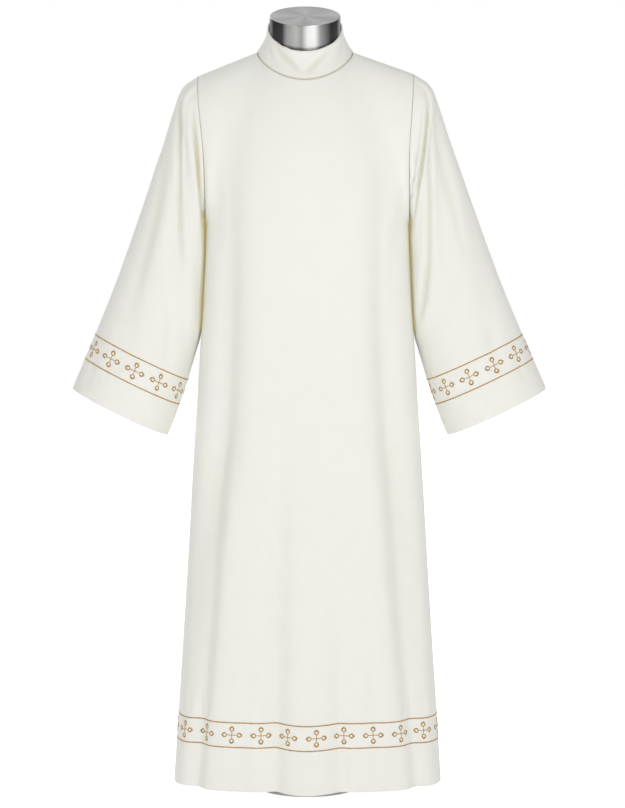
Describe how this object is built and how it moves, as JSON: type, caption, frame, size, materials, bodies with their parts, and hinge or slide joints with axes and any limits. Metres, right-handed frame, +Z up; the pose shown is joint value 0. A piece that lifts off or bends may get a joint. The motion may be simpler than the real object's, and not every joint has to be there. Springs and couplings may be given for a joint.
{
  "type": "alb robe on a dress form",
  "caption": "Long ivory robe with a stand collar and wide sleeves, on a limbless dress form with a steel neck cap and a round base.",
  "frame": {"origin": "centre of the base plate's underside, on the floor under the pole's axis", "axes": "+Z up; -Y is the robe's front; +X is the wearer's left"},
  "size_m": [0.897, 0.3147, 1.4843],
  "materials": {
    "robe_cloth": "ivory twill, matt, with gold thread bands at hem and cuffs",
    "zip_cloth": "ivory woven tape",
    "zip_metal": "satin nickel",
    "form_cover": "plain cream jersey stretched over a smooth torso",
    "neck_steel": "brushed steel, round the side and in circles on the top",
    "pole_steel": "satin steel tube",
    "base_paint": "off-white powder coat"
  },
  "bodies": {
    "root": {"front_panel": "robe_cloth", "back_panel_left": "robe_cloth", "back_panel_right": "robe_cloth", "sleeve_right": "robe_cloth", "sleeve_left": "robe_cloth", "stand_collar": "robe_cloth", "zip_tape": "zip_cloth", "zip_slider": "zip_metal", "zip_pull": "zip_cloth", "form_torso": "form_cover", "neck_cap": "neck_steel", "stand_pole": "pole_steel", "stand_base": "base_paint"}
  },
  "joints": []
}
